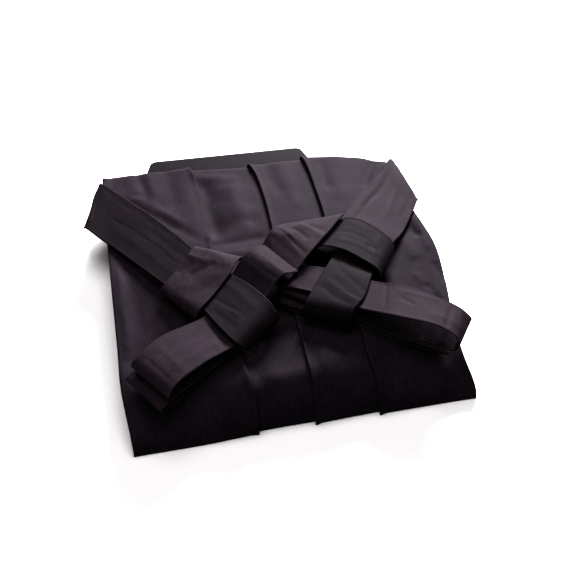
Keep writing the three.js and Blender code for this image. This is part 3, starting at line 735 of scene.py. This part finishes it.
# %% Where the ties run
STRETCHES = {
    "left_tie_from_waist": [
        dict(far=(-177, 192, 42), near=(-179, 142, 39)),   # tucked in under the front's side edge
        dict(far=(-177.5, 196, 45), near=(-197, 132, 41)),
        dict(far=(-176, 198, 48.6), near=(-196, 130, 44.2)),   # folded round the side
        dict(far=(-151, 164, 52), near=(-176, 101, 45.6)),
        dict(far=(-118, 113, 56), near=(-151, 62, 49.3)),
        dict(far=(-90, 59, 61.4), near=(-124, 17, 54.4)),
        dict(far=(-80, 42, 62.2), near=(-114, 0, 56.6)),
    ],
    "right_tie_over_left": [
        dict(far=(-84, 59, 57), near=(-42, 30, 62)),   # comes up behind the left tie
        dict(far=(-87, 58, 63), near=(-44.5, 26, 70)),
        dict(far=(-90, 54, 66), near=(-48, 21, 72.6)),
        dict(far=(-96, 44, 66), near=(-58, 5, 72.4)),
        dict(far=(-107, 32, 61.4), near=(-76, -18, 68.2)),
        dict(far=(-123, 13, 58), near=(-94, -38, 65.6)),
        dict(far=(-127.5, 10, 54.4), near=(-98, -41, 60)),
        dict(far=(-127, 9, 50.4), near=(-98, -42, 55.2)),   # turns under the left tie's edge
    ],
    "left_tie_over_long_tie": [
        dict(far=(-66, 25, 66.5), near=(-98, -17, 60.6)),
        dict(far=(-58, 5, 68.4), near=(-90.5, -35.5, 63)),
        dict(far=(-43, -16, 70.8), near=(-80, -62, 64.8)),
        dict(far=(-30, -38, 70.8), near=(-67.5, -85, 64.2)),
        dict(far=(-24, -48, 66.5), near=(-61, -88, 59)),
        dict(far=(-21, -54, 59.5), near=(-57, -88, 53.5)),
        dict(far=(-24, -54, 52), near=(-59, -84, 50)),   # rolls under the long tie
    ],
    "right_tie_end": [
        dict(far=(-62, 2, 64), near=(-35, -38, 64.6)),
        dict(far=(-56, 9, 66.9), near=(-29, -33, 68)),
        dict(far=(-49, 13.5, 76), near=(-17.5, -22, 77)),
        dict(far=(-41, 20, 80), near=(-11, -19, 80.4)),
        dict(far=(-31, 27, 79.4), near=(-3.5, -17, 80)),
        dict(far=(-23, 33, 76.2), near=(4, -13, 77.4)),   # over the crest and down behind
        dict(far=(-20, 36, 72.2), near=(6, -11, 73.2)),
    ],
    "left_tie_up_to_loop": [
        dict(far=(-30, 33, 67), near=(-9, -17, 67.4)),
        dict(far=(-22.5, 43, 68.8), near=(-1, -9, 68.2)),
        dict(far=(-13, 54, 75.6), near=(17, 10, 75.6)),
        dict(far=(-5, 62, 74.6), near=(46, 45, 75.6)),
        dict(far=(-2, 66, 71.8), near=(64, 69, 74.2)),
        dict(far=(-1, 69, 69.8), near=(66, 72.5, 72.4)),
        dict(far=(-2, 68, 67.8), near=(64, 70.5, 70.2)),   # folded back under itself
    ],
    "left_tie_loop": [
        dict(far=(52, 62, 68.4), near=(24, 27, 68.6)),
        dict(far=(67, 71, 69.2), near=(35, 27, 71.6)),
        dict(far=(81, 64, 70.6), near=(52, 16, 74)),
        dict(far=(97, 46, 69), near=(69, -1, 73.2)),
        dict(far=(107, 31, 64.5), near=(81, -15, 70.5)),
        dict(far=(109.5, 27, 58.5), near=(83.5, -19, 62)),
        dict(far=(106, 27, 53), near=(80, -19, 56)),   # round the right tie's edge
        dict(far=(98, 32, 51), near=(74, -12, 52.6)),
    ],
    "right_tie_from_waist": [
        dict(far=(147, 183, 41), near=(152, 121, 41)),   # tucked in under the front's side edge
        dict(far=(147.5, 188, 44), near=(157, 117, 43.5)),
        dict(far=(144, 191, 47.6), near=(156, 116, 45.4)),   # folded round the side
        dict(far=(126, 166, 49), near=(145, 96, 44.8)),
        dict(far=(98, 130, 53), near=(127, 64, 46.8)),
        dict(far=(71, 89, 60), near=(106, 35, 55.6)),
        dict(far=(60, 72, 62), near=(95, 20, 62.5)),
    ],
    "right_tie_over_long_tie": [
        dict(far=(54, 32, 59.6), near=(81, -6, 59.6)),
        dict(far=(41, 12, 68), near=(74.5, -20.5, 68.4)),
        dict(far=(19, -23, 69.2), near=(60.5, -50, 69.6)),
        dict(far=(6, -44, 68.4), near=(49, -64, 68.6)),
        dict(far=(1, -50, 63.5), near=(44, -71, 63.5)),
        dict(far=(0, -51, 56.5), near=(41.5, -72, 56.5)),
        dict(far=(3, -48, 51), near=(44, -69, 51)),   # rolls under the long tie
    ],
    "left_long_tie_upper_loop": [
        dict(far=(-76, -24, 60), near=(-51, -68, 60)),
        dict(far=(-92, -42, 60.5), near=(-66, -84, 60.5)),
        dict(far=(-133, -66, 65), near=(-98, -107, 65)),
        dict(far=(-154, -86, 65), near=(-123, -127, 65)),
        dict(far=(-161, -91, 62), near=(-130, -134, 61.5)),
        dict(far=(-163, -93, 58), near=(-133, -138, 57.5)),   # the open end of the loop
        dict(far=(-160, -91, 54.5), near=(-131, -134, 54)),
        dict(far=(-140, -74, 54.8), near=(-109, -115, 54.6)),
        dict(far=(-92, -42, 55.5), near=(-66, -84, 55.5)),
        dict(far=(-76, -24, 56), near=(-51, -68, 56)),
    ],
    "left_long_tie_lower_loop": [
        dict(far=(-78, -28, 53.8), near=(-53, -70, 53.8)),
        dict(far=(-95, -45, 53.5), near=(-69, -86, 53.5)),
        dict(far=(-142, -76, 51.6), near=(-111, -118, 51.4)),
        dict(far=(-162, -91, 50.5), near=(-132, -135, 50)),
        dict(far=(-169, -97, 46.5), near=(-141, -141, 46)),   # the open end of the loop
        dict(far=(-167, -95, 42.5), near=(-139, -139, 42)),
        dict(far=(-146, -78, 43.6), near=(-115, -120, 43)),
        dict(far=(-120, -58, 46.8), near=(-92, -101, 46.4)),
        dict(far=(-95, -45, 48.2), near=(-69, -86, 48)),
        dict(far=(-78, -28, 48.6), near=(-53, -70, 48.4)),
    ],
    "right_long_tie_upper_loop": [
        dict(far=(-13, 17, 64), near=(-19, -14, 64)),
        dict(far=(18, 7, 66), near=(6, -27, 66)),
        dict(far=(46, -6, 66.4), near=(28, -43, 66.4)),
        dict(far=(75, -26, 66.4), near=(52, -61, 66.2)),
        dict(far=(98, -40, 69.5), near=(83, -86, 74)),
        dict(far=(129, -65, 71.5), near=(117, -108, 76)),
        dict(far=(147, -82, 69), near=(129, -119, 72.5)),
        dict(far=(154.5, -89, 62), near=(133.5, -122, 62)),   # the wide open end of the loop
        dict(far=(149, -84, 57.5), near=(131, -118, 51.5)),
        dict(far=(136, -68, 60), near=(119, -106, 48)),
        dict(far=(101, -42, 62), near=(86, -84, 49.6)),
        dict(far=(66, -20, 58), near=(49, -58, 54)),
        dict(far=(24, 6, 58.6), near=(4, -34, 58.6)),
        dict(far=(-10, 17, 59.5), near=(-17, -18, 59.5)),
    ],
    "right_long_tie_lower_loop": [
        dict(far=(-8, 12, 55), near=(-17, -28, 55)),
        dict(far=(24, 4, 54.6), near=(1, -41, 54.6)),
        dict(far=(64, -24, 52.4), near=(47, -60, 52)),
        dict(far=(98, -46, 48.6), near=(84, -86, 47.2)),
        dict(far=(128, -74, 46.4), near=(121, -109, 44.6)),
        dict(far=(133, -82, 43.4), near=(128, -113, 42)),   # the end of the loop
        dict(far=(127, -74, 40.8), near=(121, -108, 39.4)),
        dict(far=(98, -46, 43.8), near=(86, -88, 42.8)),
        dict(far=(66, -24, 47.9), near=(50, -64, 47.9)),
        dict(far=(24, 4, 49.2), near=(3, -43, 49)),
        dict(far=(-8, 12, 49.4), near=(-15, -30, 49.2)),
    ],
    "left_long_tie_far_end": [
        dict(far=(17, 62, 56.4), near=(46, 24, 56.4)),
        dict(far=(36, 77, 56.4), near=(65, 39, 56.4)),
        dict(far=(54, 91, 55.6), near=(83, 53, 55.6)),
        dict(far=(57.5, 94, 52), near=(86.5, 56, 52)),   # the folded end, under the right tie
        dict(far=(54, 91, 48.3), near=(83, 53, 48.3)),
        dict(far=(36, 77, 48), near=(65, 39, 48)),
        dict(far=(17, 62, 48), near=(46, 24, 48)),
    ],
    "right_long_tie_far_end": [
        dict(far=(-112, 80, 47.8), near=(-147, 53, 46.6)),
        dict(far=(-100, 62, 48.6), near=(-136, 37, 47.2)),
        dict(far=(-88, 45, 49.8), near=(-124, 19, 48)),
    ],
}

# %% [markdown]
# The creases of a tie are placed by its own sections: the first number says between which sections the
# crease starts, counted from 0, and the second how far across the tie, from its far edge at 0 to its near
# edge at 1. Pressing leaves long faint lines, and pulling the knot tight leaves short slanting wrinkles
# beside it.

# %% Creases of the ties
TIE_CREASES = {
    "left_tie_from_waist": [
        crease((2.6, 0.5), (5.2, 0.46), 1.4, -0.45),
        crease((2.9, 0.66), (5, 0.7), 6, 0.35),
        crease((2.3, 0.14), (4.4, 0.13), 1.4, -0.4),
        crease((3.9, 0.3), (5.4, 0.27), 6, -0.4),
        crease((1.8, 0.1), (2.2, 0.9), 3.5, 0.9),
    ],
    "right_tie_over_left": [
        crease((3.1, 0), (3, 0.5), 6, 0.9),
        crease((4.1, 0.3), (2.9, 0.6), 6, -1.2),
        crease((4.7, 0.3), (3.2, 0.85), 6, 0.7),
        crease((4.3, 0.05), (3.4, 0.22), 5, -0.7),
        crease((4.9, 0.55), (3.6, 0.95), 6, -0.5),
        crease((2.2, 0.2), (2.7, 1), 11, 1.5),
        crease((2.4, 0.15), (2.6, 0.75), 5, -0.5),
    ],
    "left_tie_over_long_tie": [
        crease((0.9, 0.66), (2.7, 0.5), 2.2, -0.7),
        crease((2.1, 0.6), (2.5, 0.52), 2.2, 0.8),
        crease((0.5, 0.25), (2.8, 0.28), 6, 0.5),
        crease((1.4, 0.85), (2.8, 0.8), 5, -0.5),
    ],
    "right_tie_end": [
        crease((2.6, 0.1), (2.1, 1), 4.4, -0.5),
        crease((2, 0), (1.4, 0.9), 5, -0.5),
        crease((3.6, 0), (3.3, 1.1), 7, 0.5),
        crease((3.1, 0.5), (2.8, 0.95), 3.4, -0.35),
    ],
    "left_tie_up_to_loop": [
        crease((2.85, 0.3), (2.5, 0.78), 3.4, -1.2),
        crease((2.7, 0.08), (2.2, 0.6), 4, 0.9),
        crease((2.3, 0.35), (2.0, 0.95), 3.4, -1.1),
        crease((3.3, 0.45), (2.9, 0.95), 3.6, -0.9),
        crease((3.3, 0.3), (2.7, 1), 4.4, 0.8),
        crease((3.5, 0.1), (3.2, 0.4), 3, -0.5),
        crease((1.8, 0.05), (1.7, 1), 8, -0.9),
        crease((2.1, 0.4), (3.4, 0.4), 12, 1.2),
    ],
    "left_tie_loop": [
        crease((1.1, 0.5), (3.4, 0.42), 2.4, -0.5),
        crease((1.4, 0.75), (3.8, 0.66), 3.5, 0.6),
        crease((2.8, 0.55), (3.5, 0.5), 3, -1),
        crease((3.2, 0.1), (3.4, 0.95), 5, 0.5),
        crease((1.5, 0.2), (2.6, 0.22), 4, 0.4),
    ],
    "right_tie_from_waist": [
        crease((2.4, 0.2), (5.2, 0.2), 1.5, -0.8),
        crease((2.1, 0.09), (4.6, 0.1), 3, 0.5),
        crease((3.2, 0.24), (4.2, 0.22), 2.4, -0.7),
        crease((4.7, 0.62), (4.65, 1), 2.6, -1.1),
        crease((5, 0.6), (4.95, 0.95), 2.6, 0.9),
        crease((2, 0.45), (4.3, 0.6), 6, 0.6),
        crease((2.2, 0.85), (3.7, 0.82), 5, -0.5),
        crease((1.85, 0.1), (1.95, 0.9), 3.5, 0.8),
    ],
    "right_tie_over_long_tie": [
        crease((2, 0.05), (2.85, 0.9), 4, -0.6),
        crease((1.75, 0.1), (2.45, 1), 5, 0.6),
        crease((1.2, 0.2), (1.8, 1), 5, -0.4),
        crease((1.95, 0.55), (2.25, 1), 3, -0.4),
        crease((0.6, 0.3), (1.7, 0.35), 6, 0.4),
    ],
    "left_long_tie_upper_loop": [
        crease((1.1, 0.3), (2.6, 0.4), 7, -0.6),
        crease((2.3, 0.2), (2.6, 0.95), 6, 0.5),
        crease((1.2, 0.75), (2.9, 0.7), 5, 0.6),
        crease((3, 0.1), (3.3, 0.9), 3, -0.5),
        crease((0.8, 0.3), (1.3, 0.9), 6, -0.8),
    ],
    "left_long_tie_lower_loop": [
        crease((2.8, 0.1), (2.9, 0.9), 4, 0.5),
    ],
    "right_long_tie_upper_loop": [
        crease((3.5, 0.05), (3.65, 0.8), 2.6, -0.7),
        crease((4, 0.42), (4.4, 0.5), 2.6, -0.8),
        crease((3.8, 0.2), (5, 0.14), 4, 0.5),
        crease((5.5, 0.1), (5.3, 1), 4, -0.7),
        crease((4.7, 0.7), (6.2, 0.62), 6, 0.7),
        crease((6, 0), (6.2, 1), 3.5, 0.6),
        crease((8.2, 0), (8.2, 1), 5, 0.9),
        crease((8.9, 0), (8.9, 1), 4, -0.9),
        crease((9.5, 0), (9.5, 1), 6, 0.8),
    ],
    "right_long_tie_lower_loop": [
        crease((2.6, 0.6), (3.9, 0.7), 4, 0.5),
    ],
}

# %% [markdown]
# A tie's outer face is a ruled strip between its two edges, which follow smooth curves through the
# sections. The pressed edges are rounded, with a slight bead where the turned-in cloth lies, so points
# stand closer there. The strip then gets the tie's thickness inwards. The table of cuts gives each stretch
# as sewn: the finished width of the tie, and the length of that stretch.

# %% Ties
TIE, ROW_STEP, COLUMN_STEP = 1.8, 1.4, 2.1
FINE = 50                         # steps from one section to the next when a stretch is measured
EDGE_COLUMNS = [(0, -0.75), (0.18, -0.4), (0.5, -0.12), (1, 0.12), (1.6, 0.22), (2.3, 0.12), (3.2, 0)]


def edge_point(rows, key, at):
    """A point of one edge, on a centripetal Catmull-Rom curve through the sections."""
    points = [Vector(row[key]) for row in rows]
    k = min(int(at), len(points) - 2)
    t = at - k
    one, two = points[k], points[k + 1]
    before = points[k - 1] if k > 0 else one * 2 - two
    after = points[k + 2] if k + 2 < len(points) else two * 2 - one
    first, middle, last = ((b - a).length ** 0.5 for a, b in ((before, one), (one, two), (two, after)))
    slope_one = (one - before) / first - (two - before) / (first + middle) + (two - one) / middle
    slope_two = (two - one) / middle - (after - one) / (middle + last) + (after - two) / last
    slope_one, slope_two = slope_one * middle, slope_two * middle
    return bend(one, slope_one, two, slope_two, t)


def outward_sign(rows):
    """+1 when across-then-along turns the outer face upwards on the stretch's highest part, else -1."""
    high = max(range(len(rows)), key=lambda k: rows[k]["far"][2])
    at = min(max(high, 1), len(rows) - 2)
    along = Vector(rows[at + 1]["far"]) - Vector(rows[at - 1]["far"])
    over = Vector(rows[at]["near"]) - Vector(rows[at]["far"])
    return math.copysign(1, over.cross(along).z)


def evenly_along(rows):
    """Places along a stretch with a section every ROW_STEP, and how far along each one is, in mm."""
    fine = [k / FINE for k in range((len(rows) - 1) * FINE + 1)]
    middles = [(edge_point(rows, "far", at) + edge_point(rows, "near", at)) / 2 for at in fine]
    run = [0]
    for one, two in zip(middles, middles[1:]):
        run.append(run[-1] + (two - one).length)
    count = max(8, round(run[-1] / ROW_STEP))
    places, k = [], 0
    for m in range(count + 1):
        target = run[-1] * m / count
        while k < len(run) - 2 and run[k + 1] < target:
            k += 1
        places.append((mix(fine[k], fine[k + 1], (target - run[k]) / (run[k + 1] - run[k])), target))
    return places, lambda at: run[round(min(at, len(rows) - 1) * FINE)]


def across_columns(width):
    """Columns from the far edge to the near one: how far across, in mm, and how far above the flat face."""
    inner_from = EDGE_COLUMNS[-1][0]
    count = max(4, round((width - 2 * inner_from) / COLUMN_STEP))
    inner = [(mix(inner_from, width - inner_from, k / count), 0) for k in range(1, count)]
    return EDGE_COLUMNS + inner + [(width - place, lift) for place, lift in reversed(EDGE_COLUMNS)]


def tie_surface(name, rows):
    """The finished outer face: place(i, j) for grid_cloth, with its numbers of columns and rows."""
    places, run_at = evenly_along(rows)
    edges = [(edge_point(rows, "far", at), edge_point(rows, "near", at)) for at, _ in places]
    width = sum((near - far).length for far, near in edges) / len(edges)
    columns = across_columns(width)
    sign = outward_sign(rows)
    creases = [
        crease((run_at(fold["start"].x), fold["start"].y * width),
               (run_at(fold["end"].x), fold["end"].y * width),
               fold["width"], fold["depth"], fold["fade"])
        for fold in TIE_CREASES.get(name, [])
    ]
    seed = len(name) * 1.7   # moves each stretch to its own part of the noise

    def place(i, j):
        across, lift = columns[i]
        share = across / width
        far, near = edges[j]
        (far_a, near_a), (far_b, near_b) = edges[max(j - 1, 0)], edges[min(j + 1, len(edges) - 1)]
        along = far_b.lerp(near_b, share) - far_a.lerp(near_a, share)
        outward = (near - far).cross(along).normalized() * sign
        run = places[j][1]
        slow = noise.noise((run / 34, across / 34, seed)) * 0.4
        slow += noise.noise((run / 11, across / 11, seed)) * 0.08
        height = lift + slow + crease_height(creases, run, across)
        return far.lerp(near, share) + outward * height, (across, run)

    return place, len(columns), len(places), sign


# These stretches get the darker twill, painted shade where they lie across the light.
SHADED_TIES = [
    "left_tie_from_waist", "left_tie_over_long_tie", "left_tie_loop", "right_tie_over_long_tie",
]


def tie(name, cut):
    place, columns, rows, sign = tie_surface(name, STRETCHES[name])
    # Painted shade: the stretches listed above take the darker copy of the tie twill.
    cloth = shaded_tie_twill if name in SHADED_TIES else tie_twill
    piece = grid_cloth(f"{name}_cloth", columns, rows, place, TIE, cloth, -1, turned=sign < 0)
    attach(piece, "root")
    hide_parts(name)
    print(piece.name, "area and triangles:", measured(piece), "cut area:", round(cut[0] * cut[1], 5))


TIE_CUTS = {
    "left_tie_from_waist": (0.05, 0.22),
    "right_tie_over_left": (0.05, 0.09),
    "left_tie_over_long_tie": (0.058, 0.09),
    "right_tie_end": (0.05, 0.07),
    "left_tie_up_to_loop": (0.05, 0.09),
    "left_tie_loop": (0.05, 0.1),
    "right_tie_from_waist": (0.065, 0.17),
    "right_tie_over_long_tie": (0.045, 0.1),
    "left_long_tie_upper_loop": (0.05, 0.21),
    "left_long_tie_lower_loop": (0.05, 0.21),
    "right_long_tie_upper_loop": (0.04, 0.37),
    "right_long_tie_lower_loop": (0.04, 0.32),
    "left_long_tie_far_end": (0.05, 0.11),
    "right_long_tie_far_end": (0.045, 0.05),
}
for name, cut in TIE_CUTS.items():
    tie(name, cut)

# %% [markdown]
# The ties are closed along one edge with a row of small hand stitches. They show where that edge lies
# uppermost. A stitch is a little stretched ball of thread, half sunk in the cloth, and all the stitches of
# a tie are one mesh.

# %% Stitches
STITCH_LENGTH, STITCH_THICK, STITCH_STEP, STITCH_UP = 1.5, 0.5, 3.2, 0.35
SEWN_EDGES = {
    "left_tie_over_long_tie": [dict(share=0.035, rows=(0.2, 4.6)), dict(share=0.075, rows=(0.2, 4.4))],
    "left_tie_up_to_loop": [dict(share=0.955, rows=(1.1, 4.2))],
    "left_tie_from_waist": [dict(share=0.04, rows=(2.2, 5.4))],
    "right_tie_from_waist": [dict(share=0.96, rows=(2.2, 5))],
    "left_tie_loop": [dict(share=0.04, rows=(1, 3.8))],
    "right_long_tie_upper_loop": [dict(share=0.04, rows=(3.2, 6.4))],
    "left_long_tie_upper_loop": [dict(share=0.96, rows=(1.2, 3.8))],
}


def stitches(name):
    rows = STRETCHES[name]
    sign = outward_sign(rows)
    places, run_at = evenly_along(rows)
    mesh = bmesh.new()
    for seam in SEWN_EDGES[name]:
        start, stop = (run_at(at) for at in seam["rows"])
        for k in range(int((stop - start) / STITCH_STEP)):
            target = start + (k + 0.5) * STITCH_STEP
            at = min(places, key=lambda item: abs(item[1] - target))[0]
            far, near = (edge_point(rows, key, at) for key in ("far", "near"))
            ahead = (edge_point(rows, key, min(at + 0.05, len(rows) - 1)) for key in ("far", "near"))
            middle = far.lerp(near, seam["share"])
            along = (next(ahead).lerp(next(ahead), seam["share"]) - middle).normalized()
            outward = (near - far).cross(along).normalized() * sign
            ball = bmesh.ops.create_icosphere(mesh, subdivisions=1, radius=1)["verts"]
            for vertex in ball:
                local = vertex.co.copy()
                point = middle + along * local.x * STITCH_LENGTH / 2
                point += outward * (STITCH_UP + local.z * STITCH_THICK / 2)
                vertex.co = packed(point + outward.cross(along) * local.y * STITCH_THICK / 2)
    bmesh.ops.recalc_face_normals(mesh, faces=mesh.faces)
    flat = mesh.loops.layers.uv.new("cloth")
    for face in mesh.faces:
        face.smooth = True
        for loop in face.loops:
            loop[flat].uv = loop.vert.co.xy
    piece = made_object(f"{name}_stitches", mesh, thread)
    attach(piece, "root")
    return piece


for name in SEWN_EDGES:
    print(name, "stitch faces:", len(stitches(name).data.polygons))
